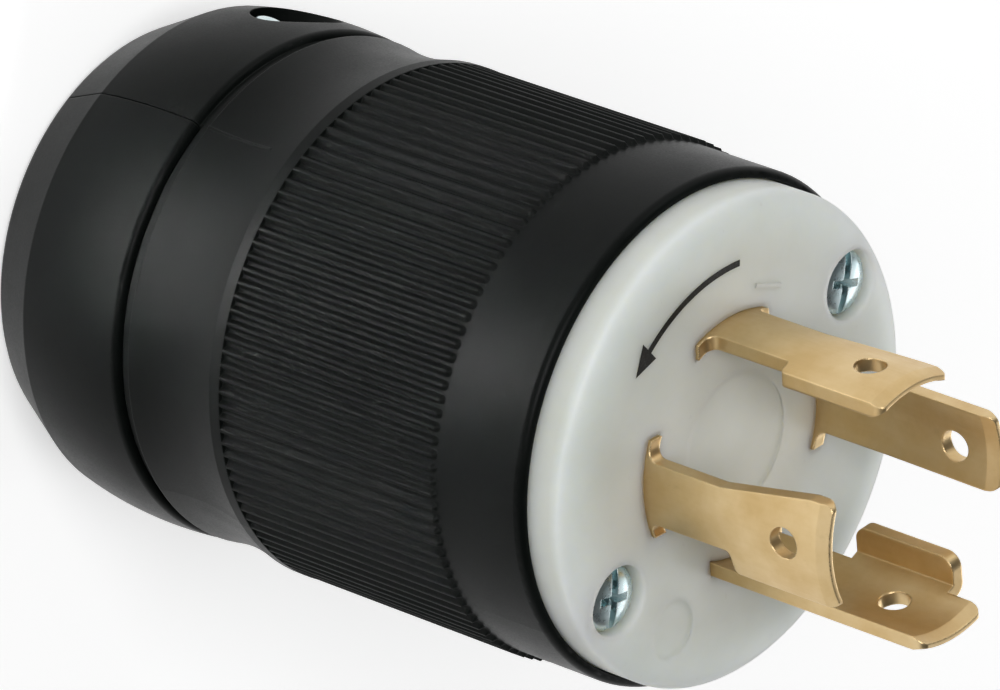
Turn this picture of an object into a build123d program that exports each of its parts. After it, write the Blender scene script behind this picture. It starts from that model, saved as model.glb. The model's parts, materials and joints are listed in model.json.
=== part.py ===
from build123d import *
import math
import os

os.makedirs("parts", exist_ok=True)

# Lengths along the axis, in millimetres, from the rear rim up
REAR_LEN = 22.2
CREASE_GAP = 1.5
RING_LEN = 12.6
RIM_LEN = 1.4
RIB_LEN = 30.8
BAND_LEN = 11.4
FACE_PROUD = 4.9
FACE_DEPTH = 7.0
BLOCK_THICK = 6.0
BLOCK_TAIL = 18.9
BULKHEAD = 3.0
CAVITY_CONE = 7.0

# Shell and grip, which stands round the circle of the blades
BLADE_R = 14.6
BODY_DEEP = 14.4
RIB_COUNT = 120
RIB_HEIGHT = 0.6
RIB_BASE = 1.5
RIB_TAPER = 36.0
RIB_ROOT = 0.3
RIB_DROP = 0.06
RIB_END_FACETS = 5
WALL = 3.2
LIP_ROUND = 1.0
RING_WAIST = 0.95
RING_WAIST_SHARE = 0.4
RING_EDGE_DROP = 0.5
REAR_CONE_LEN = 7.7
REAR_CONE_IN = 4.0
REAR_CONE_DROP = 1.2
REAR_CONE_ROUND = 0.8
REAR_ROUND = 2.0
REAR_DROP = 0.2
REAR_EDGE_DROP = 0.4
REAR_BULGE_SHARE = 0.7
CREASE_DEPTH = 0.7
CREASE_ROUND = 0.8
CREASE_SLOPE = 0.5
PARTING_WIDTH = 0.3
PARTING_HEIGHT = 0.1
PARTING_LEN = 9.2

# Cord clamp
CLAMP_WALL = 15.0
JAW_GROOVE = 2.6
JAW_DEPTH = 0.7
JAW_COUNT = 3
JAW_MARGIN = 4.2
CORD_LEAD = 1.2
SEAM_GAP = 0.15
CLAMP_GAP = 0.3
CLAMP_SCREW_WALL = 3.8
CLAMP_SCREW_TOP = 7.2
HEAD_BORE_GAP = 0.8
HEAD_SEAT_DEEP = 5.7
NUT_X = 6.0

# Face
FACE_CROWN_WIDE = 4.2
FACE_CROWN_HIGH = 1.1
LIP_THICK = 1.05
FACE_DISC_R = 7.7
FACE_DISC_DEPTH = 0.25
PIN_MARK_R = 3.2
PIN_MARK_EDGE = 6.5
PIN_MARK_TURN = 28.5
DASH_LEN = 4.2
DASH_WIDTH = 0.5
DASH_HEIGHT = 0.2
DASH_ROOT = 0.5
DASH_GAP = 2.2
DASH_TURN = -139.5
FACE_SCREW_EDGE = 5.2
FACE_HEAD_DROP = 0.7

# Blades
BLADE_THICK = 1.5
BLADE_TURN = -29.3
GROUND_TURN = 3.4
LINE_REACH = 24.7
GROUND_REACH = 28.9
SHOULDER_RISE = 11.0
LEDGE_RISE = 0.3
SHANK_DEG = 22.6
NECK_DEG = 14.2
LEAD_DEG = {"x": 22.5, "y": 14.8, "z": 21.8}
TRAIL_DEG = {"x": 21.0, "y": 21.2, "z": 27.0}
LEAD_START = 1.0
LEAD_END = 2.9
GROUND_LOW_DEG = 22.0
GROUND_HIGH_DEG = 16.5
FLANGE_DEG = 26.9
FLANGE_DEEP = 2.4
FLANGE_START = 0.2
FLANGE_END = 4.6
FLANGE_ROUND = 1.6
BEND_ROUND = 1.4
TIP_BEVEL = 1.5
TIP_EDGE = 0.5
TIP_ROUND = 1.2
TIP_SPARE = 0.1
NECK_ROUND = 1.2
CORNER_ROUND = 0.6
CROSS_HOLE_R = 1.77
CROSS_HOLE_DROP = 5.8
GROUND_HOLE_DROP = 8.9
GROUND_HOLE_DEG = 2.0
STOP_WIDE = 1.0
STOP_LEN = 4.0

# Screws, nuts and wire plates
SCREW_R = 2.0
HEAD_R = 3.6
HEAD_HIGH = 2.4
HEAD_EDGE = 1.3
HEAD_TOP_R = 2.4
SLOT_WIDTH = 1.0
SLOT_DEPTH = 0.9
CROSS_LEN = 4.6
CROSS_DEPTH = 1.6
NUT_SIDE = 7.0
NUT_THICK = 3.2
PLATE_SIDE = 9.0
PLATE_THICK = 1.2
WIRE_GAP = 3.4
BARRIER = 2.0
BOSS_WALL = 2.15
BOSS_LEN = 27.0
FACE_SCREW_GRIP = 17.0
FACE_SCREW_TURN = 20.0
TERMINAL_PAST = 2.5
CLAMP_PAST = 1.5
BLIND_GAP = 1.5

# Clearances
FIT = 0.15
LOOSE = 0.4
THREAD_GAP = 0.05
SCREW_GAP = 0.35

# Stations on the axis
Z_RING = REAR_LEN + CREASE_GAP
Z_RIM = Z_RING + RING_LEN
Z_RIB = Z_RIM + RIM_LEN
Z_BAND = Z_RIB + RIB_LEN
Z_LIP = Z_BAND + BAND_LEN
Z_FACE = Z_LIP + FACE_PROUD
Z_SEAT = Z_LIP - FACE_DEPTH
Z_BLOCK = Z_SEAT - BLOCK_THICK
Z_TAIL = Z_BLOCK - BLOCK_TAIL
Z_TERMINAL = (Z_TAIL + Z_BLOCK) / 2
Z_HEAD = Z_FACE - FACE_HEAD_DROP - HEAD_HIGH

# Radii and places that follow from the sizes above
GRIP_R = BLADE_R + BODY_DEEP
BAND_R = GRIP_R - RIB_HEIGHT
FACE_R = BAND_R - LIP_THICK - FIT
CAVITY_R = BAND_R - WALL
BLOCK_R = CAVITY_R - LOOSE
BLADE_IN_R = BLADE_R - BLADE_THICK
PLATE_X = BLADE_R + WIRE_GAP
BOSS_R = SCREW_R + BOSS_WALL
FACE_SCREW_AT = FACE_R - FACE_SCREW_EDGE
CORD_R = GRIP_R - CLAMP_WALL
CLAMP_SCREW_Y = CORD_R + JAW_DEPTH + CLAMP_SCREW_WALL
CLAMP_SCREW_Z = REAR_LEN - CLAMP_SCREW_TOP
HEAD_BORE_R = HEAD_R + HEAD_BORE_GAP
HEAD_SEAT_X = math.sqrt(GRIP_R**2 - CLAMP_SCREW_Y**2) - HEAD_SEAT_DEEP
JAW_PITCH = (REAR_LEN - 2 * JAW_MARGIN - JAW_GROOVE) / (JAW_COUNT - 1)
SHANK_HALF = BLADE_R * math.sin(math.radians(SHANK_DEG))
NECK_HALF = BLADE_R * math.sin(math.radians(NECK_DEG))
BLADE_AT = {
    "x": BLADE_TURN - 90,
    "y": BLADE_TURN + 180,
    "z": BLADE_TURN,
    "ground": BLADE_TURN + 90 + GROUND_TURN,
}
LONG = 4 * GRIP_R


def tube(r, z0, z1):
    """A round bar on the axis from z0 to z1."""
    return Pos(0, 0, (z0 + z1) / 2) * Cylinder(r, z1 - z0)


def spun(points):
    """A ring or bar turned on the axis from corner points (radius, height)."""
    return revolve(Plane.XZ * make_face(Polyline(*points, close=True)), Axis.Z)


def bar_x(r, x0, x1, y, z):
    """A round bar along X."""
    return Pos((x0 + x1) / 2, y, z) * Rot(0, 90, 0) * Cylinder(r, x1 - x0)


def block(low, high):
    """A box between two corners."""
    size = [b - a for a, b in zip(low, high)]
    centre = [(a + b) / 2 for a, b in zip(low, high)]
    return Pos(*centre) * Box(*size)


def rear_ring():
    """The rear ring before it is split: rounded rim, cone, bulging wall and rounded front edge."""
    low = (GRIP_R - REAR_CONE_DROP, REAR_CONE_LEN)
    foot = (low[0] - REAR_CONE_IN, 0)
    bulge = (GRIP_R - REAR_DROP, REAR_BULGE_SHARE * REAR_LEN)
    edge = (GRIP_R - REAR_EDGE_DROP, REAR_LEN)
    outline = [
        Polyline((0, 0), foot, low),
        ThreePointArc(low, bulge, edge),
        Polyline(edge, (0, REAR_LEN), (0, 0)),
    ]
    face = make_face(Curve() + outline)
    for corner, radius in ((foot, REAR_ROUND), (low, REAR_CONE_ROUND), (edge, CREASE_ROUND)):
        face = fillet(face.vertices().sort_by_distance((*corner, 0))[0], radius)
    return revolve(Plane.XZ * face, Axis.Z)


def cord_bore(z1):
    """The cord's way in, with gripping grooves round it."""
    way = tube(CORD_R, -1, z1)
    way += spun([(0, -1), (CORD_R + CORD_LEAD + 1, -1), (CORD_R, CORD_LEAD), (0, CORD_LEAD)])
    for i in range(JAW_COUNT):
        low = JAW_MARGIN + i * JAW_PITCH
        way += spun([
            (0, low),
            (CORD_R, low),
            (CORD_R + JAW_DEPTH, low + JAW_GROOVE / 3),
            (CORD_R + JAW_DEPTH, low + 2 * JAW_GROOVE / 3),
            (CORD_R, low + JAW_GROOVE),
            (0, low + JAW_GROOVE),
        ])
    return way


def front_shell(proud=0.0):
    """The middle ring, the rim behind the ribs and the plain bar they stand on."""
    base_r = GRIP_R - RING_EDGE_DROP + proud
    low = (base_r - CREASE_DEPTH, REAR_LEN - CREASE_ROUND)
    edge = (base_r, Z_RING + CREASE_SLOPE / 2)
    waist = (GRIP_R - RING_WAIST + proud, Z_RING + RING_WAIST_SHARE * RING_LEN)
    rim = (GRIP_R, Z_RIM)
    outline = [
        Polyline((0, low[1]), low, (low[0], edge[1] - CREASE_SLOPE), edge),
        ThreePointArc(edge, waist, rim),
        Polyline(rim, (GRIP_R, Z_RIB), (BAND_R, Z_RIB), (BAND_R, Z_LIP), (0, Z_LIP), (0, low[1])),
    ]
    face = make_face(Curve() + outline)
    lip = [v for v in face.vertices() if abs(v.Y - Z_LIP) < 0.01 and v.X > 1]
    return revolve(Plane.XZ * fillet(lip, LIP_ROUND), Axis.Z)


def ribs():
    """Every rib of the grip: tapered sides, a rounded front end, the rear end in the rim."""
    length = RIB_LEN + RIM_LEN * 0.7
    half = RIB_BASE / 2
    corners = [(half, 0)]
    for i in range(RIB_END_FACETS + 1):
        turn = math.pi * i / RIB_END_FACETS
        corners.append((half * math.cos(turn), length - half + half * math.sin(turn)))
    corners.append((-half, 0))
    sketch = make_face(Polyline(*corners, close=True))
    plane = Plane((BAND_R - RIB_ROOT, 0, Z_BAND - length), x_dir=(0, 1, 0), z_dir=(1, 0, 0))
    one = extrude(plane * sketch, RIB_HEIGHT + RIB_ROOT - RIB_DROP, taper=RIB_TAPER)
    step = 360 / RIB_COUNT
    return [Rot(0, 0, i * step) * one for i in range(RIB_COUNT)]


def make_housing():
    """The shell: revolved body, ribs, cavity, screw bosses and the fixed half of the clamp."""
    half = block((-LONG, -LONG, -1), (-SEAM_GAP / 2, LONG, REAR_LEN + 1))
    parting = block((-PARTING_WIDTH / 2, -LONG, Z_RING), (PARTING_WIDTH / 2, LONG, Z_RING + PARTING_LEN))
    shell = front_shell() + (front_shell(PARTING_HEIGHT) & parting)
    shell -= block((-SEAM_GAP / 2, -LONG, 0), (LONG, LONG, REAR_LEN + CLAMP_GAP))
    shell += rear_ring() & half
    shell += ribs()
    z_cone = Z_RING + BULKHEAD
    shell -= spun([
        (0, REAR_LEN),
        (CORD_R, REAR_LEN),
        (CORD_R, z_cone),
        (CAVITY_R, z_cone + CAVITY_CONE),
        (CAVITY_R, Z_SEAT),
        (FACE_R + FIT, Z_SEAT),
        (FACE_R + FIT, Z_LIP + 1),
        (0, Z_LIP + 1),
    ])
    shell -= cord_bore(REAR_LEN)
    for side in (-1, 1):
        shell += Pos(side * FACE_SCREW_AT, 0) * tube(BOSS_R, Z_BLOCK - BOSS_LEN, Z_BLOCK)
        shell -= Pos(side * FACE_SCREW_AT, 0) * tube(
            SCREW_R + THREAD_GAP, Z_BLOCK - FACE_SCREW_GRIP - BLIND_GAP, Z_BLOCK + 1
        )
        y = side * CLAMP_SCREW_Y
        shell -= bar_x(HEAD_BORE_R, -GRIP_R, -HEAD_SEAT_X, y, CLAMP_SCREW_Z)
        shell -= bar_x(SCREW_R + SCREW_GAP, -GRIP_R, 0, y, CLAMP_SCREW_Z)
    return shell


def make_clamp():
    """The loose half of the rear ring, with its jaw, screw holes and nut slots."""
    half = block((SEAM_GAP / 2, -LONG, -1), (LONG, LONG, REAR_LEN + 1))
    jaw = (rear_ring() & half) - cord_bore(REAR_LEN + 1)
    slot = NUT_SIDE + 2 * FIT
    tip = NUT_X + NUT_THICK + CLAMP_PAST
    for side in (-1, 1):
        y = side * CLAMP_SCREW_Y
        jaw -= bar_x(SCREW_R + SCREW_GAP, 0, tip + BLIND_GAP, y, CLAMP_SCREW_Z)
        jaw -= block(
            (NUT_X, y - slot / 2, CLAMP_SCREW_Z - slot / 2),
            (NUT_X + NUT_THICK + FIT, y + slot / 2, REAR_LEN + 1),
        )
    return jaw


def blade_ring(reach, gap=0.0, z0=Z_TAIL):
    """The round wall a blade is cut from, with its end bevelled on both sides."""
    inner = BLADE_IN_R - gap
    outer = BLADE_R + gap
    top = Z_FACE + reach
    side = (outer - inner - TIP_EDGE) / 2
    return spun([
        (inner, z0),
        (outer, z0),
        (outer, top - TIP_BEVEL),
        (outer - side, top),
        (inner + side, top),
        (inner, top - TIP_BEVEL),
    ])


def cut_blade(ring, corners, rounds):
    """The wall cut to an outline of corners (across, up), with chosen corners rounded."""
    face = make_face(Polyline(*corners, close=True))
    for index, radius in rounds.items():
        x, y = corners[index]
        near = [v for v in face.vertices() if abs(v.X - x) < 1e-4 and abs(v.Y - y) < 1e-4]
        face = fillet(near, radius)
    return ring & extrude(Plane.YZ * face, 2 * BLADE_R)


def shank(low, high):
    """Outline of a blade's lower end: tail, stop between face and block, and slot part."""
    stop = Z_SEAT - STOP_LEN
    wide = low + STOP_WIDE
    left = [(-low, Z_SEAT), (-wide, Z_SEAT), (-wide, stop), (-low, stop), (-low, Z_TAIL - TIP_SPARE)]
    right = [(-x - low + high, z) for x, z in reversed(left)]
    return left, right


def make_line_blade(name):
    """A line blade: shank, neck, locking shoulder, swept lead side and bevelled end."""
    lead = BLADE_R * math.sin(math.radians(LEAD_DEG[name]))
    trail = BLADE_R * math.sin(math.radians(TRAIL_DEG[name]))
    ledge = Z_FACE + LEDGE_RISE
    tip = Z_FACE + LINE_REACH
    left, right = shank(SHANK_HALF, SHANK_HALF)
    shoulder = Z_FACE + SHOULDER_RISE
    upper = [
        (SHANK_HALF, ledge),
        (NECK_HALF, ledge),
        (NECK_HALF, shoulder),
        (trail, shoulder),
        (trail, tip + TIP_SPARE),
        (-lead, tip + TIP_SPARE),
        (-lead, tip - LEAD_END),
        (-NECK_HALF, shoulder - LEAD_START),
        (-NECK_HALF, ledge),
        (-SHANK_HALF, ledge),
    ]
    n = len(left) + len(right)
    rounds = {
        n + 1: NECK_ROUND,
        n + 2: CORNER_ROUND,
        n + 3: CORNER_ROUND,
        n + 4: TIP_ROUND,
        n + 5: TIP_ROUND,
        n + 8: NECK_ROUND,
    }
    blade = cut_blade(blade_ring(LINE_REACH), left + right + upper, rounds)
    blade -= bar_x(CROSS_HOLE_R, 0, LONG, 0, tip - CROSS_HOLE_DROP)
    blade -= bar_x(SCREW_R + THREAD_GAP, 0, LONG, 0, Z_TERMINAL)
    return blade


def make_ground_blade():
    """The ground blade: a longer curved plate with a flange bent in towards the axis."""
    low = BLADE_R * math.sin(math.radians(GROUND_LOW_DEG))
    high = BLADE_R * math.sin(math.radians(GROUND_HIGH_DEG))
    outer_y = BLADE_R * math.sin(math.radians(FLANGE_DEG))
    tip = Z_FACE + GROUND_REACH
    z0 = Z_FACE + SHOULDER_RISE + FLANGE_START
    z1 = tip - FLANGE_END
    ledge = Z_FACE + LEDGE_RISE
    left, right = shank(low, SHANK_HALF)
    upper = [
        (SHANK_HALF, ledge),
        (high, ledge),
        (high, z0),
        (outer_y, z0),
        (outer_y, z1),
        (high, z1),
        (high, tip + TIP_SPARE),
        (-low, tip + TIP_SPARE),
    ]
    n = len(left) + len(right)
    rounds = {n + 1: NECK_ROUND, n + 6: TIP_ROUND, n + 7: TIP_ROUND}
    blade = cut_blade(blade_ring(GROUND_REACH), left + right + upper, rounds)
    foot = math.sqrt(BLADE_IN_R**2 - outer_y**2)
    edge = foot - FLANGE_DEEP
    flange = block((edge, outer_y - BLADE_THICK, z0), (foot + BLADE_THICK / 2, outer_y, z1))
    ends = [e for e in flange.edges().filter_by(Axis.Y) if e.center().X < edge + 0.1]
    flange = fillet(ends, FLANGE_ROUND)
    blade += flange & tube(BLADE_R, z0, z1)
    bend = [
        e
        for e in blade.edges().filter_by(Axis.Z)
        if abs(e.center().Y - outer_y) < 0.05 and e.length > 0.8 * (z1 - z0)
        and math.hypot(e.center().X, e.center().Y) > BLADE_R - 0.1
    ]
    blade = fillet(bend, BEND_ROUND)
    hole_y = BLADE_R * math.sin(math.radians(GROUND_HOLE_DEG))
    blade -= bar_x(CROSS_HOLE_R, 0, LONG, hole_y, tip - GROUND_HOLE_DROP)
    blade -= bar_x(SCREW_R + THREAD_GAP, 0, LONG, 0, Z_TERMINAL)
    return blade


def blade_room(z0, z1, wide=0.0):
    """The space that the four shanks take between two heights, with clearance."""
    room = []
    wall = tube(BLADE_R + FIT, z0, z1) - tube(BLADE_IN_R - FIT, z0 - 1, z1 + 1)
    low = {name: SHANK_HALF for name in BLADE_AT}
    low["ground"] = BLADE_R * math.sin(math.radians(GROUND_LOW_DEG))
    for name, turn in BLADE_AT.items():
        span = block(
            (0, -low[name] - wide - FIT, z0 - 1), (LONG, SHANK_HALF + wide + FIT, z1 + 1)
        )
        room.append(Rot(0, 0, turn) * (wall & span))
    return room


def make_insulator():
    """The white face: rounded edge, blade slots, screw recesses and moulding marks."""
    outline = insulator_section()
    face = revolve(Plane.XZ * outline, Axis.Z)
    face -= blade_room(Z_SEAT - 1, Z_FACE + 1)
    face -= tube(FACE_DISC_R, Z_FACE - FACE_DISC_DEPTH, Z_FACE + 1)
    mark = Pos(FACE_R - PIN_MARK_EDGE, 0) * tube(PIN_MARK_R, Z_FACE - FACE_DISC_DEPTH, Z_FACE + 1)
    face -= Rot(0, 0, PIN_MARK_TURN) * mark
    dash_at = BLADE_R + DASH_GAP
    dash = block(
        (dash_at, -DASH_LEN / 2, Z_FACE - DASH_ROOT),
        (dash_at + DASH_WIDTH, DASH_LEN / 2, Z_FACE + DASH_HEIGHT),
    )
    face += Rot(0, 0, DASH_TURN) * dash
    for side in (-1, 1):
        at = Pos(side * FACE_SCREW_AT, 0)
        face -= at * tube(HEAD_R + SCREW_GAP, Z_HEAD, Z_FACE + 1)
        face -= at * tube(SCREW_R + SCREW_GAP, Z_SEAT - 1, Z_FACE)
    return face


def insulator_section():
    """Half section of the face."""
    centre = (FACE_R - FACE_CROWN_WIDE, Z_FACE - FACE_CROWN_HIGH)
    crown = EllipticalCenterArc(centre, FACE_CROWN_WIDE, FACE_CROWN_HIGH, start_angle=0, arc_size=90)
    side = Polyline(crown @ 1, (0, Z_FACE), (0, Z_SEAT), (FACE_R, Z_SEAT), crown @ 0)
    return make_face(Curve() + [crown, side])


def make_terminal_block():
    """The block: a disc that traps the blades, a core and four walls between the terminals."""
    body = tube(BLOCK_R, Z_BLOCK, Z_SEAT)
    core_r = BLADE_IN_R - FIT
    body += tube(core_r, Z_TAIL, Z_BLOCK)
    for i in range(4):
        wall = block((core_r - 1, -BARRIER / 2, Z_TAIL), (BLOCK_R - FIT, BARRIER / 2, Z_BLOCK))
        body += Rot(0, 0, BLADE_TURN + 45 + 90 * i) * wall
    body -= blade_room(Z_SEAT - STOP_LEN - FIT, Z_SEAT + 1, STOP_WIDE)
    body -= blade_room(Z_BLOCK - 1, Z_SEAT)
    for side in (-1, 1):
        body -= Pos(side * FACE_SCREW_AT, 0) * tube(SCREW_R + SCREW_GAP, Z_BLOCK - 1, Z_SEAT + 1)
    end = BLADE_IN_R - TERMINAL_PAST - BLIND_GAP
    for turn in BLADE_AT.values():
        body -= Rot(0, 0, turn) * bar_x(SCREW_R + SCREW_GAP, end, core_r + 1, 0, Z_TERMINAL)
    return body


def make_screw(length):
    """A screw standing on its head seat, shank down, with a bevelled head, slot and cross."""
    head = spun([(0, 0), (HEAD_R, 0), (HEAD_R, HEAD_EDGE), (HEAD_TOP_R, HEAD_HIGH), (0, HEAD_HIGH)])
    cuts = [
        (2 * HEAD_R, SLOT_WIDTH, SLOT_DEPTH),
        (CROSS_LEN, SLOT_WIDTH, CROSS_DEPTH),
        (SLOT_WIDTH, CROSS_LEN, CROSS_DEPTH),
    ]
    for x, y, deep in cuts:
        head -= block((-x / 2, -y / 2, HEAD_HIGH - deep), (x / 2, y / 2, HEAD_HIGH + 1))
    stem = tube(SCREW_R, -length, 0.01)
    tip = [e for e in stem.edges() if e.center().Z < -length + 0.01]
    return head + chamfer(tip, SCREW_R / 5)


def radial(turn, x, piece):
    """A piece made on +Z, laid along +X at distance x and height of the terminals, then turned."""
    return Rot(0, 0, turn) * Pos(x, 0, Z_TERMINAL) * Rot(0, 90, 0) * piece


def make_nut(side):
    """A square nut in its slot."""
    y = side * CLAMP_SCREW_Y
    low = (NUT_X, y - NUT_SIDE / 2, CLAMP_SCREW_Z - NUT_SIDE / 2)
    high = (NUT_X + NUT_THICK, y + NUT_SIDE / 2, CLAMP_SCREW_Z + NUT_SIDE / 2)
    return block(low, high) - bar_x(SCREW_R + THREAD_GAP, 0, LONG, y, CLAMP_SCREW_Z)


nodes = {
    "housing": make_housing(),
    "cord_clamp": make_clamp(),
    "face": make_insulator(),
    "terminal_block": make_terminal_block(),
    "blade_ground": Rot(0, 0, BLADE_AT["ground"]) * make_ground_blade(),
}
for name in ("x", "y", "z"):
    nodes["blade_" + name] = Rot(0, 0, BLADE_AT[name]) * make_line_blade(name)

plate = Box(PLATE_SIDE, PLATE_SIDE, PLATE_THICK) - Cylinder(SCREW_R + SCREW_GAP, LONG)
terminal_screw = make_screw(PLATE_THICK + WIRE_GAP + BLADE_THICK + TERMINAL_PAST)
for name, turn in BLADE_AT.items():
    nodes["wire_plate_" + name] = radial(turn, PLATE_X + PLATE_THICK / 2, plate)
    nodes["terminal_screw_" + name] = radial(turn, PLATE_X + PLATE_THICK, terminal_screw)

face_screw = make_screw(Z_HEAD - Z_BLOCK + FACE_SCREW_GRIP)
clamp_screw = make_screw(HEAD_SEAT_X + NUT_X + NUT_THICK + CLAMP_PAST)
for tag, side in (("a", -1), ("b", 1)):
    at_face = Pos(side * FACE_SCREW_AT, 0, Z_HEAD) * Rot(0, 0, side * FACE_SCREW_TURN)
    nodes["face_screw_" + tag] = at_face * face_screw
    nodes["clamp_screw_" + tag] = (
        Pos(-HEAD_SEAT_X, side * CLAMP_SCREW_Y, CLAMP_SCREW_Z) * Rot(0, -90, 0) * clamp_screw
    )
    nodes["clamp_nut_" + tag] = make_nut(side)

for name, shape in nodes.items():
    export_step(shape, "parts/" + name + ".step")
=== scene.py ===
import json
import math

import bmesh
import bpy
from mathutils import Matrix, Vector


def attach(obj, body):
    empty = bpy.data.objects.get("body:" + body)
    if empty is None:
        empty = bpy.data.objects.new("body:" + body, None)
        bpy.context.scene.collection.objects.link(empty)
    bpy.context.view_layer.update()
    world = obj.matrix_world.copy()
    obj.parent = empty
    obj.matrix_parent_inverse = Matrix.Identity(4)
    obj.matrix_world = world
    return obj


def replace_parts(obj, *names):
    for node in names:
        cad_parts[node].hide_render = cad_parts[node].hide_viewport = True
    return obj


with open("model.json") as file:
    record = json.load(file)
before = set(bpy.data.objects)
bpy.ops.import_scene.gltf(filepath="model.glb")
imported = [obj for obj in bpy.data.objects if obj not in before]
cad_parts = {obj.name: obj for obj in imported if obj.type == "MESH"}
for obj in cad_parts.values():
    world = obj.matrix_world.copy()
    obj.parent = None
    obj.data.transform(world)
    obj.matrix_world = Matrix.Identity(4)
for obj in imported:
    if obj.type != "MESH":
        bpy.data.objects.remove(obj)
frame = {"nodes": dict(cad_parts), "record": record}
nodes = frame["nodes"]
slots = {entry["node"]: entry["material_slot"] for entry in frame["record"]["subparts"]}
mounts = {mount["name"]: mount for mount in frame["record"]["mounts"]}
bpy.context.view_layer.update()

MM = 0.001

# Places and sizes that repeat the part, in millimetres and degrees
FACE_Z = mounts["mating_face"]["pos_m"][2] / MM
CROWN_IN = 20.0
CROWN_OUT = 25.5
CROWN_LOW = 82.6
CROWN_HIGH = 83.9
GRIP_LOW = 37.7
GRIP_HIGH = 68.5
TERMINAL_TURNS = {"x": -119.3, "y": 150.7, "z": -29.3, "ground": 64.1}
SCREW_R = 2.0
HEAD_R = 3.6
HEAD_HIGH = 2.4

# Fine shapes that only the scene has, in millimetres and degrees
HEAD_SIDE = 1.3
HEAD_STEPS = 72
SLOT_LONG = 8.0
SLOT_WIDE = 1.0
SLOT_FLOOR = 1.45
CROSS_LONG = 4.7
CROSS_FLOOR = 0.75
CROSS_TAPER = 0.55
CUT_TOP = 3.0
THREAD_PITCH = 0.8
THREAD_DEEP = 0.42
THREAD_LEAD = 1.2
SHANK_IN = 0.3
SHARP_ANGLE = 35.0
FACE_SPIN = 48.0
FACE_SPIN_APART = 3.0
CLAMP_SPIN = 35.0
MARK_R = 20.3
MARK_HALF = 0.36
MARK_FIRST = -124.0
MARK_LAST = -80.0
MARK_STEPS = 44
MARK_HEAD_HALF = 1.5
MARK_HEAD_TURN = 9.0
PRINT_HALF = 0.015

# Surfaces: where most of a noise lies, cosines that tell an edge, and the rougher grip
NOISE_CORE = (0.35, 0.65)
NOISE_SPAN = (0.3, 0.7)
EDGE_STARTS = 0.995
EDGE_FULL = 0.86
BEVEL_SAMPLES = 6
GRIP_FADE = 1.0
GRIP_ROUGHER = 0.22

# Colours in linear light
BLACK_DEEP = (0.0024, 0.0033, 0.0029, 1)
BLACK_FLOW = (0.0045, 0.0058, 0.0052, 1)
# Paler black for edges: partly rubbing wear, partly a painted highlight along edges such as the rib
# tops
BLACK_WORN_AND_SHEEN = (0.026, 0.029, 0.027, 1)
MILKY_DEEP = (0.690, 0.714, 0.658, 1)
MILKY_PALE = (0.738, 0.764, 0.718, 1)
# A paler copy of the milky white: a painted highlight for the face's crowned edge
CROWN_HIGHLIGHT_DEEP = (0.755, 0.806, 0.772, 1)
CROWN_HIGHLIGHT_PALE = (0.810, 0.862, 0.836, 1)
WHITE_SPECK = (0.52, 0.50, 0.44, 1)
BLADE_PALE = (0.70, 0.53, 0.29, 1)
BLADE_DEEP = (0.61, 0.43, 0.20, 1)
SCREW_PALE = (0.82, 0.62, 0.32, 1)
SCREW_DEEP = (0.72, 0.50, 0.24, 1)
ZINC_BLUE = (0.50, 0.65, 0.68, 1)
ZINC_PALE = (0.70, 0.79, 0.80, 1)
ZINC_EDGE = (0.82, 0.86, 0.86, 1)
GREEN_DEEP = (0.035, 0.22, 0.085, 1)
GREEN_PALE = (0.06, 0.33, 0.14, 1)
GREEN_EDGE = (0.30, 0.42, 0.30, 1)
GREY_DEEP = (0.060, 0.062, 0.064, 1)
GREY_PALE = (0.085, 0.087, 0.088, 1)
GREY_EDGE = (0.16, 0.16, 0.16, 1)
INK_DEEP = (0.014, 0.014, 0.013, 1)
INK_THIN = (0.10, 0.10, 0.095, 1)
WHITE = (1, 1, 1, 1)

# Floor, lamps and world, in metres: the floor's glow grows from near to far
FLOOR_R = 6.0
FLOOR_SEGMENTS = 96
FLOOR_Z = -0.00002
FLOOR_TINT = (0.83, 0.86)
GLOW_REACH = (0.4, 1.6)
GLOW_LEVEL = (0.53, 0.88)
LAMP_TARGET = (0, 0, 0.06)
BEAM_TARGET = (0.045, -0.080, 0)
SKY_HEIGHT = (0.05, 0.5)
SKY_LEVEL = (1.0, 0.08)

# Camera, in degrees and millimetres, with azimuth 0 in front of the plug at -Y
CAMERA_AZIMUTH = 26.83
CAMERA_ELEVATION = 37.87
CAMERA_ROLL = 109.51
CAMERA_FAR = 1098.1
CAMERA_TARGET = (-1.21, -0.61, 50.97)
CAMERA_LENS = 370.54
CAMERA_SENSOR = 36.0
CAMERA_CLIP = 50.0


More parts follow.
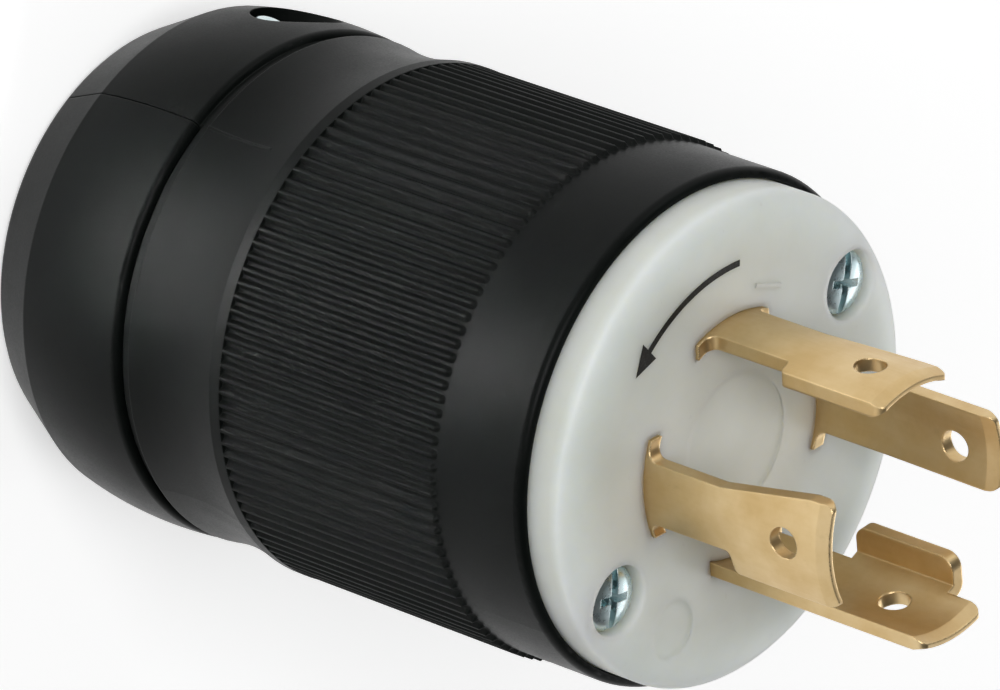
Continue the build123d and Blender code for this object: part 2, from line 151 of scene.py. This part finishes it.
class Look:
    """One node material, with short ways to add nodes and links."""

    def __init__(self, name, **values):
        self.material = bpy.data.materials.new(name)
        self.material.use_nodes = True
        self.tree = self.material.node_tree
        self.shader = self.tree.nodes["Principled BSDF"]
        self.place = self.add("ShaderNodeTexCoord").outputs["Object"]
        for socket, value in values.items():
            self.shader.inputs[socket.replace("_", " ")].default_value = value

    def add(self, kind, inputs=None, **settings):
        made = self.tree.nodes.new(kind)
        for key, value in settings.items():
            setattr(made, key, value)
        for key, value in (inputs or {}).items():
            if isinstance(value, bpy.types.NodeSocket):
                self.tree.links.new(value, made.inputs[key])
            else:
                made.inputs[key].default_value = value
        return made

    def put(self, value, socket):
        self.tree.links.new(value, self.shader.inputs[socket])

    def noise(self, scale, detail=3.0, rough=0.55, stretch=(1, 1, 1)):
        """Noise with features about 1/scale metres wide."""
        mapped = self.add("ShaderNodeMapping", {"Vector": self.place, "Scale": stretch})
        made = self.add(
            "ShaderNodeTexNoise",
            {"Vector": mapped.outputs[0], "Scale": scale, "Detail": detail, "Roughness": rough},
        )
        return made.outputs["Fac"]

    def spread(self, value, low, high, to_low=0.0, to_high=1.0):
        """A value brought from one range to another, and held there."""
        made = self.add(
            "ShaderNodeMapRange",
            {"Value": value, "From Min": low, "From Max": high, "To Min": to_low, "To Max": to_high},
        )
        return made.outputs[0]

    def varied(self, noise, low, high):
        """A value that follows a noise from low to high."""
        return self.spread(noise, *NOISE_SPAN, low, high)

    def maths(self, operation, first, second):
        made = self.add("ShaderNodeMath", {0: first, 1: second}, operation=operation)
        return made.outputs[0]

    def length(self, vector):
        made = self.add("ShaderNodeVectorMath", {0: vector}, operation="LENGTH")
        return made.outputs["Value"]

    def blend(self, share, first, second):
        """One colour going over into another."""
        made = self.add("ShaderNodeMix", {0: share, 6: first, 7: second}, data_type="RGBA")
        return made.outputs[2]

    def cloud(self, noise, first, second):
        """Two colours that drift into each other with a noise."""
        return self.blend(self.spread(noise, *NOISE_CORE), first, second)

    def rounded(self, radius):
        """Normals that run softly over the edges, with a radius in millimetres."""
        return self.add("ShaderNodeBevel", {"Radius": radius * MM}, samples=BEVEL_SAMPLES).outputs[0]

    def edges(self, soft):
        """A mask that is 1 on edges, where soft normals turn away from the true ones."""
        true = self.add("ShaderNodeNewGeometry").outputs["Normal"]
        same = self.add("ShaderNodeVectorMath", {0: soft, 1: true}, operation="DOT_PRODUCT")
        return self.spread(same.outputs["Value"], EDGE_STARTS, EDGE_FULL)

    def edged(self, colour, edge, share, pale):
        """A colour that goes over into a paler one on the edges."""
        return self.blend(self.maths("MULTIPLY", edge, share), colour, pale)

    def bumps(self, normal, *heights):
        """Bumps over a normal, each from a height and its depth in millimetres."""
        for height, depth in heights:
            made = self.add(
                "ShaderNodeBump",
                {"Height": height, "Distance": depth * MM, "Strength": 1.0, "Normal": normal},
            )
            normal = made.outputs[0]
        self.put(normal, "Normal")


def shade(colour, factor):
    return tuple(min(1.0, factor * channel) for channel in colour[:3]) + (1,)


def black_nylon():
    """Satin black moulded nylon: fine spark texture, faint flow, pale edges that are partly wear and
    partly a painted highlight, and a rougher grip.
    """
    look = Look("black_nylon", IOR=1.5, Specular_IOR_Level=0.075)
    normal = look.rounded(0.22)
    flow = look.noise(90, detail=4.0, rough=0.6)
    grain = look.noise(4200, detail=2.0)
    # Edges go paler: partly rubbing wear, partly a painted highlight standing in for light caught on
    # the rib edges
    wear_and_sheen = look.maths("MULTIPLY", look.edges(normal), look.varied(look.noise(700), 0.25, 0.75))
    look.put(look.blend(wear_and_sheen, look.cloud(flow, BLACK_DEEP, BLACK_FLOW), BLACK_WORN_AND_SHEEN), "Base Color")
    height = look.add("ShaderNodeSeparateXYZ", {0: look.place}).outputs["Z"]
    above = look.spread(height, GRIP_LOW * MM, (GRIP_LOW + GRIP_FADE) * MM)
    below = look.spread(height, GRIP_HIGH * MM, (GRIP_HIGH - GRIP_FADE) * MM)
    grip = look.maths("MULTIPLY", above, below)
    satin = look.maths("ADD", look.varied(flow, 0.32, 0.42), look.varied(grain, -0.04, 0.04))
    look.put(look.maths("ADD", satin, look.maths("MULTIPLY", grip, GRIP_ROUGHER)), "Roughness")
    look.bumps(normal, (look.noise(140, detail=2.0), 0.02), (grain, 0.005))
    return look.material


def white_nylon():
    """Milky white nylon with soft clouds and a satin skin, with a painted highlight that makes its
    crowned edge paler.
    """
    look = Look(
        "white_nylon",
        IOR=1.5,
        Specular_IOR_Level=0.45,
        Subsurface_Weight=1.0,
        Subsurface_Radius=(1.0, 0.95, 0.8),
        Subsurface_Scale=5.0 * MM,
    )
    drift = look.noise(70, detail=4.0, rough=0.6)
    milky = look.cloud(drift, MILKY_DEEP, MILKY_PALE)
    # clear is the paler copy of the same white, a painted highlight for the crowned edge
    clear = look.cloud(drift, CROWN_HIGHLIGHT_DEEP, CROWN_HIGHLIGHT_PALE)
    split = look.add("ShaderNodeSeparateXYZ", {0: look.place}).outputs
    flat = look.add("ShaderNodeCombineXYZ", {0: split["X"], 1: split["Y"]}).outputs[0]
    highlight_ring = look.spread(look.length(flat), CROWN_IN * MM, CROWN_OUT * MM)
    above = look.spread(split["Z"], CROWN_LOW * MM, CROWN_HIGH * MM)
    # The ring of the crown takes the paler colour: a painted highlight standing in for light on the
    # rounded edge
    colour = look.blend(look.maths("MULTIPLY", highlight_ring, above), milky, clear)
    speck = look.spread(look.noise(900, detail=2.0), 0.70, 0.78, 0.0, 0.12)
    look.put(look.blend(speck, colour, WHITE_SPECK), "Base Color")
    look.put(look.varied(look.noise(1500), 0.36, 0.48), "Roughness")
    swell = look.noise(160, detail=2.0)
    skin = look.noise(5200, detail=2.0)
    look.bumps(look.rounded(1.1), (swell, 0.04), (skin, 0.004))
    return look.material


def brass(name, pale, deep, rough):
    """Rolled and stamped brass: fine lines along the blade, light tarnish, bright cut edges that are
    partly a painted highlight.
    """
    look = Look(name, Metallic=1.0)
    normal = look.rounded(0.30)
    edge = look.edges(normal)
    lines = look.noise(2600, rough=0.6, stretch=(1, 1, 0.025))
    stain = look.noise(160, detail=4.0, rough=0.6)
    patches = look.noise(420, detail=5.0, rough=0.65)
    tarnish = look.spread(patches, 0.62, 0.80, 0.0, 0.35)
    colour = look.blend(look.spread(stain, 0.32, 0.68), pale, deep)
    colour = look.blend(tarnish, colour, shade(deep, 0.72))
    # Paler colour on the cut edges: partly freshly cut brass, partly a painted highlight
    look.put(look.edged(colour, edge, 0.8, shade(pale, 1.22)), "Base Color")
    rolled = look.maths("ADD", look.varied(stain, *rough), look.varied(lines, -0.05, 0.05))
    look.put(look.maths("SUBTRACT", rolled, look.maths("MULTIPLY", edge, 0.12)), "Roughness")
    look.bumps(normal, (lines, 0.004), (look.noise(900, detail=2.0), 0.004))
    return look.material


def plated_steel():
    """Bright zinc plating with a blue cast, a fine skin and polished edges."""
    look = Look("plated_steel", Metallic=1.0)
    normal = look.rounded(0.12)
    zinc = look.cloud(look.noise(300), ZINC_BLUE, ZINC_PALE)
    look.put(look.edged(zinc, look.edges(normal), 0.6, ZINC_EDGE), "Base Color")
    look.put(look.varied(look.noise(1400, detail=4.0), 0.24, 0.34), "Roughness")
    look.bumps(normal, (look.noise(3500, detail=2.0), 0.0015))
    return look.material


def green_steel():
    """Green dyed plating of the ground screw."""
    look = Look("green_steel", Metallic=0.85)
    normal = look.rounded(0.12)
    green = look.cloud(look.noise(500), GREEN_DEEP, GREEN_PALE)
    look.put(look.edged(green, look.edges(normal), 0.5, GREEN_EDGE), "Base Color")
    look.put(look.varied(look.noise(2200, detail=4.0), 0.28, 0.42), "Roughness")
    look.bumps(normal, (look.noise(3500, detail=2.0), 0.006))
    return look.material


def grey_nylon():
    """Matt dark grey nylon of the terminal block."""
    look = Look("grey_nylon", IOR=1.5)
    normal = look.rounded(0.2)
    grey = look.cloud(look.noise(110, detail=4.0), GREY_DEEP, GREY_PALE)
    look.put(look.edged(grey, look.edges(normal), 0.5, GREY_EDGE), "Base Color")
    look.put(look.varied(look.noise(1500), 0.50, 0.62), "Roughness")
    look.bumps(normal, (look.noise(3800, detail=2.0), 0.010))
    return look.material


def ink():
    """Matt black print that lies thin in places."""
    look = Look("ink", Specular_IOR_Level=0.3)
    thin = look.spread(look.noise(2600, detail=4.0, rough=0.65), 0.55, 0.75, 0.0, 0.5)
    look.put(look.blend(thin, INK_DEEP, INK_THIN), "Base Color")
    look.put(look.varied(look.noise(3000), 0.5, 0.7), "Roughness")
    return look.material


LOOKS = {
    "black_nylon": black_nylon(),
    "white_nylon": white_nylon(),
    "grey_nylon": grey_nylon(),
    "blade_brass": brass("blade_brass", BLADE_PALE, BLADE_DEEP, rough=(0.36, 0.46)),
    "screw_brass": brass("screw_brass", SCREW_PALE, SCREW_DEEP, rough=(0.26, 0.38)),
    "plated_steel": plated_steel(),
    "green_steel": green_steel(),
}


def to_mesh(bm, name):
    mesh = bpy.data.meshes.new(name)
    bm.to_mesh(mesh)
    bm.free()
    return mesh


def linked(name, data):
    """A new object in the scene."""
    obj = bpy.data.objects.new(name, data)
    bpy.context.scene.collection.objects.link(obj)
    return obj


def paint(obj, material):
    obj.data.materials.clear()
    obj.data.materials.append(material)


def shown(name, mesh, matrix):
    """A new piece of the plug with its material slot."""
    obj = linked(name, mesh)
    obj.matrix_world = matrix
    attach(obj, "root")
    return obj


def polar(r, degrees, z):
    a = math.radians(degrees)
    return r * math.cos(a), r * math.sin(a), z


def spun(degrees, axis):
    return Matrix.Rotation(math.radians(degrees), 4, axis)


def head_outline(steps=10, power=3.0):
    """A screw head's outline, as points (radius, height): flat seat, straight side, rounded top."""
    points = [(0, 0), (HEAD_R, 0)]
    for i in range(steps):
        a = math.pi / 2 * i / steps
        rise = (HEAD_HIGH - HEAD_SIDE) * math.sin(a) ** (2 / power)
        points.append((HEAD_R * math.cos(a) ** (2 / power), HEAD_SIDE + rise))
    return points + [(0, HEAD_HIGH)]


def turned(bm, profile, steps):
    """A closed body turned on Z from points (radius, height) that start and end on the axis."""
    rings = []
    for r, z in profile:
        count = steps if r else 1
        rings.append([bm.verts.new(polar(r, 360 * i / steps, z)) for i in range(count)])
    for low, high in zip(rings, rings[1:]):
        for i in range(steps):
            j = (i + 1) % steps
            quad = [low[i % len(low)], low[j % len(low)], high[j % len(high)], high[i % len(high)]]
            bm.faces.new(list(dict.fromkeys(quad)))


def threaded_shank(bm, length, steps=24, per_turn=6):
    """A shank with a helical thread, from just inside the head down to a plain tip."""
    count = int(length / THREAD_PITCH * per_turn)
    rings = []
    for k in range(count + 1):
        z = SHANK_IN - (length + SHANK_IN) * k / count
        lead = min(1.0, max(0.0, (z + length) / THREAD_LEAD))
        ring = []
        for i in range(steps):
            phase = (z / THREAD_PITCH + i / steps) % 1.0
            crest = 1 - abs(2 * phase - 1)
            r = SCREW_R - THREAD_DEEP * (1 - crest * lead)
            ring.append(bm.verts.new(polar(r, 360 * i / steps, z)))
        rings.append(ring)
    for low, high in zip(rings[1:], rings):
        for i in range(steps):
            j = (i + 1) % steps
            bm.faces.new((low[i], low[j], high[j], high[i]))
    bm.faces.new(rings[0])
    bm.faces.new(list(reversed(rings[-1])))


def cutter(long, wide, bottom, taper):
    """A cutter for a screw head that narrows towards its bottom."""
    bm = bmesh.new()
    bmesh.ops.create_cube(bm, size=1.0)
    for vert in bm.verts:
        z, k = (CUT_TOP, 1.0) if vert.co.z > 0 else (bottom, taper)
        vert.co = (vert.co.x * long * k, vert.co.y * wide * k, z)
    return linked("cutter", to_mesh(bm, "cutter"))


def driven_head(name):
    """A domed head with a slot and a cross cut into it."""
    bm = bmesh.new()
    turned(bm, head_outline(), HEAD_STEPS)
    bmesh.ops.recalc_face_normals(bm, faces=bm.faces)
    work = linked(name + "_work", to_mesh(bm, name + "_head"))
    cutters = [
        cutter(SLOT_LONG, SLOT_WIDE, SLOT_FLOOR, 1.0),
        cutter(CROSS_LONG, SLOT_WIDE, CROSS_FLOOR, CROSS_TAPER),
        cutter(SLOT_WIDE, CROSS_LONG, CROSS_FLOOR, CROSS_TAPER),
    ]
    for tool in cutters:
        cut = work.modifiers.new("cut", "BOOLEAN")
        cut.operation = "DIFFERENCE"
        cut.object = tool
    bpy.context.view_layer.update()
    ready = work.evaluated_get(bpy.context.evaluated_depsgraph_get())
    head = bpy.data.meshes.new_from_object(ready)
    for obj in [work] + cutters:
        bpy.data.objects.remove(obj)
    return head


def screw_mesh(name, length, material):
    """A screw in metres on its seat: domed head with slot and cross, and a threaded shank."""
    bm = bmesh.new()
    bm.from_mesh(driven_head(name))
    threaded_shank(bm, length)
    bmesh.ops.scale(bm, vec=(MM, MM, MM), verts=bm.verts)
    for face in bm.faces:
        face.smooth = True
    mesh = to_mesh(bm, name)
    mesh.materials.append(material)
    mesh.set_sharp_from_angle(angle=math.radians(SHARP_ANGLE))
    return mesh


def fine_screw(node, name, lie, spin=0.0):
    """A finer screw in the place of a plain one, with its seat and length measured on the solid."""
    solid = nodes[node]
    to_axis = lie.inverted() @ solid.matrix_world
    points = [to_axis @ vertex.co for vertex in solid.data.vertices]
    low = Vector([min(point[i] for point in points) for i in range(3)])
    high = Vector([max(point[i] for point in points) for i in range(3)])
    middle = (low + high) / 2
    seat = high.z - HEAD_HIGH * MM
    mesh = screw_mesh(name, (seat - low.z) / MM, LOOKS[slots[node]])
    where = lie @ Matrix.Translation((middle.x, middle.y, seat)) @ spun(spin, "Z")
    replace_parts(shown(name, mesh, where), node)


def turn_mark():
    """A thin printed arrow that shows which way the plug turns to lock."""
    bm = bmesh.new()

    def corner(r, degrees):
        return bm.verts.new(polar(r, degrees, FACE_Z - PRINT_HALF))

    sweep = MARK_LAST - MARK_FIRST
    turns = [MARK_FIRST + sweep * i / MARK_STEPS for i in range(MARK_STEPS + 1)]
    inner = [corner(MARK_R - MARK_HALF, turn) for turn in turns]
    outer = [corner(MARK_R + MARK_HALF, turn) for turn in turns]
    for i in range(MARK_STEPS):
        bm.faces.new((inner[i], outer[i], outer[i + 1], inner[i + 1]))
    low = corner(MARK_R - MARK_HEAD_HALF, MARK_LAST)
    high = corner(MARK_R + MARK_HEAD_HALF, MARK_LAST)
    bm.faces.new((low, inner[-1], outer[-1], high, corner(MARK_R, MARK_LAST + MARK_HEAD_TURN)))
    raised = bmesh.ops.extrude_face_region(bm, geom=bm.faces[:], use_keep_orig=True)
    tops = [item for item in raised["geom"] if isinstance(item, bmesh.types.BMVert)]
    bmesh.ops.translate(bm, vec=(0, 0, 2 * PRINT_HALF), verts=tops)
    bmesh.ops.recalc_face_normals(bm, faces=bm.faces)
    bmesh.ops.scale(bm, vec=(MM, MM, MM), verts=bm.verts)
    mesh = to_mesh(bm, "turn_mark")
    mesh.materials.append(ink())
    shown("turn_mark", mesh, Matrix.Identity(4))


def floor():
    """A plain white floor that keeps the plug's shadow."""
    bm = bmesh.new()
    bmesh.ops.create_circle(bm, cap_ends=True, segments=FLOOR_SEGMENTS, radius=FLOOR_R)
    obj = linked("floor", to_mesh(bm, "floor"))
    obj.location = (0, 0, FLOOR_Z)
    look = Look("floor", Roughness=0.9, Specular_IOR_Level=0.0, Emission_Color=WHITE)
    tint = look.varied(look.noise(3), *FLOOR_TINT)
    grey = look.add("ShaderNodeCombineColor", {0: tint, 1: tint, 2: tint})
    look.put(grey.outputs[0], "Base Color")
    path = look.add("ShaderNodeLightPath").outputs
    seen = look.maths("ADD", path["Is Camera Ray"], path["Is Glossy Ray"])
    seen = look.maths("ADD", seen, path["Is Transmission Ray"])
    glow = look.spread(look.length(look.place), *GLOW_REACH, *GLOW_LEVEL)
    look.put(look.maths("MULTIPLY", seen, glow), "Emission Strength")
    obj.data.materials.append(look.material)


def towards(azimuth, elevation):
    """The direction from the plug to a place at these angles, with azimuth 0 at -Y."""
    a = math.radians(azimuth)
    e = math.radians(elevation)
    return Vector((math.sin(a) * math.cos(e), -math.cos(a) * math.cos(e), math.sin(e)))


def lamp(name, azimuth, elevation, distance, size, watts, target=LAMP_TARGET, spread=180):
    """A soft round lamp that faces its target."""
    away = towards(azimuth, elevation)
    data = bpy.data.lights.new(name, "AREA")
    data.shape = "DISK"
    data.size = size
    data.energy = watts
    data.spread = math.radians(spread)
    obj = linked(name, data)
    obj.location = Vector(target) + away * distance
    obj.rotation_euler = away.to_track_quat("Z", "Y").to_euler()


def studio():
    """A world that is white round the horizon and dim overhead."""
    world = bpy.data.worlds.new("studio")
    bpy.context.scene.world = world
    world.use_nodes = True
    tree = world.node_tree
    place = tree.nodes.new("ShaderNodeTexCoord")
    split = tree.nodes.new("ShaderNodeSeparateXYZ")
    level = tree.nodes.new("ShaderNodeMapRange")
    for socket, value in zip(("From Min", "From Max", "To Min", "To Max"), SKY_HEIGHT + SKY_LEVEL):
        level.inputs[socket].default_value = value
    back = tree.nodes["Background"]
    back.inputs["Color"].default_value = WHITE
    tree.links.new(place.outputs["Generated"], split.inputs[0])
    tree.links.new(split.outputs["Z"], level.inputs["Value"])
    tree.links.new(level.outputs[0], back.inputs["Strength"])


def photo_camera():
    """A camera at the photograph's viewing angle, rolled as it was."""
    camera = linked("camera", bpy.data.cameras.new("camera"))
    camera.data.sensor_fit = "HORIZONTAL"
    camera.data.sensor_width = CAMERA_SENSOR
    camera.data.lens = CAMERA_LENS
    camera.data.clip_end = CAMERA_CLIP
    away = towards(CAMERA_AZIMUTH, CAMERA_ELEVATION)
    where = (Vector(CAMERA_TARGET) + away * CAMERA_FAR) * MM
    facing = away.to_track_quat("Z", "Y").to_matrix().to_4x4()
    camera.matrix_world = Matrix.Translation(where) @ facing @ spun(CAMERA_ROLL, "Z")
    return camera


# The plug's own solids
for node, slot in slots.items():
    paint(nodes[node], LOOKS[slot])

# Screws with driven heads and threads
for tag, side in (("a", -1), ("b", 1)):
    spin = FACE_SPIN + side * FACE_SPIN_APART
    fine_screw("face_screw_" + tag, "screw_face_" + tag, spun(0, "Z"), spin)
    fine_screw("clamp_screw_" + tag, "screw_clamp_" + tag, spun(-90, "Y"), side * CLAMP_SPIN)
for tag, turn in TERMINAL_TURNS.items():
    outwards = spun(turn, "Z") @ spun(90, "Y")
    fine_screw("terminal_screw_" + tag, "screw_terminal_" + tag, outwards)

turn_mark()

# Floor, three soft lamps, a narrow one on the floor before the plug, and the world
floor()
lamp("key", azimuth=24, elevation=47, distance=0.95, size=0.55, watts=4.5)
lamp("back", azimuth=210, elevation=20, distance=0.9, size=0.5, watts=1.4)
lamp("side", azimuth=-60, elevation=30, distance=0.9, size=0.5, watts=0.9)
lamp(
    "front", azimuth=30, elevation=86, distance=0.5, size=0.035, watts=0.20,
    target=BEAM_TARGET, spread=11,
)
studio()

bpy.context.scene.camera = photo_camera()
bpy.context.scene.view_settings.view_transform = "Standard"
